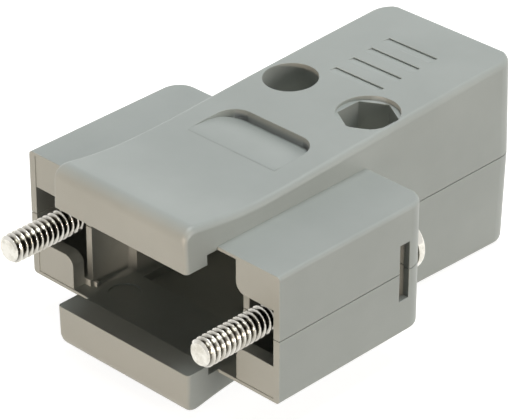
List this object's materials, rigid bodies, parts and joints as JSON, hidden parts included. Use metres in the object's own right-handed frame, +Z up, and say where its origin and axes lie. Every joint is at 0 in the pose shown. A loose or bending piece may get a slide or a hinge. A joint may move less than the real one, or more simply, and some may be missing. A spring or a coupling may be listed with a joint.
{
  "type": "d-sub connector hood",
  "caption": "Moulded split backshell for a nine-way D-sub connector, with long jackscrews in side ears and a rear cable entry.",
  "frame": {"origin": "bottom centre of the part's box, on the surface that it lies on", "axes": "+X across the ears to the right, +Y back along the cable, +Z up, square to the parting plane"},
  "size_m": [0.0324, 0.0474, 0.0203],
  "materials": {
    "hood_plastic": "fine moulded satin",
    "nickel_steel": "bright nickel plate",
    "zinc_steel": "zinc plate"
  },
  "bodies": {
    "hood": {"upper_shell": "hood_plastic", "lower_shell": "hood_plastic", "clamp_screw_left": "nickel_steel", "clamp_screw_right": "nickel_steel", "clamp_nut_left": "zinc_steel", "clamp_nut_right": "zinc_steel", "cable_clamp_upper": "zinc_steel", "cable_clamp_lower": "zinc_steel", "cable_clamp_screw_left": "nickel_steel", "cable_clamp_screw_right": "nickel_steel"},
    "jack_left": {"jackscrew_left": "nickel_steel"},
    "jack_right": {"jackscrew_right": "nickel_steel"}
  },
  "joints": [
    {"name": "jackscrew_left_turn", "type": "hinge", "parent": "hood", "child": "jack_left", "pos_m": [-0.01249, 0.00103, 0.01015], "axis": [0, 1, 0], "continuous": true},
    {"name": "jackscrew_right_turn", "type": "hinge", "parent": "hood", "child": "jack_right", "pos_m": [0.01249, 0.00103, 0.01015], "axis": [0, 1, 0], "continuous": true}
  ]
}
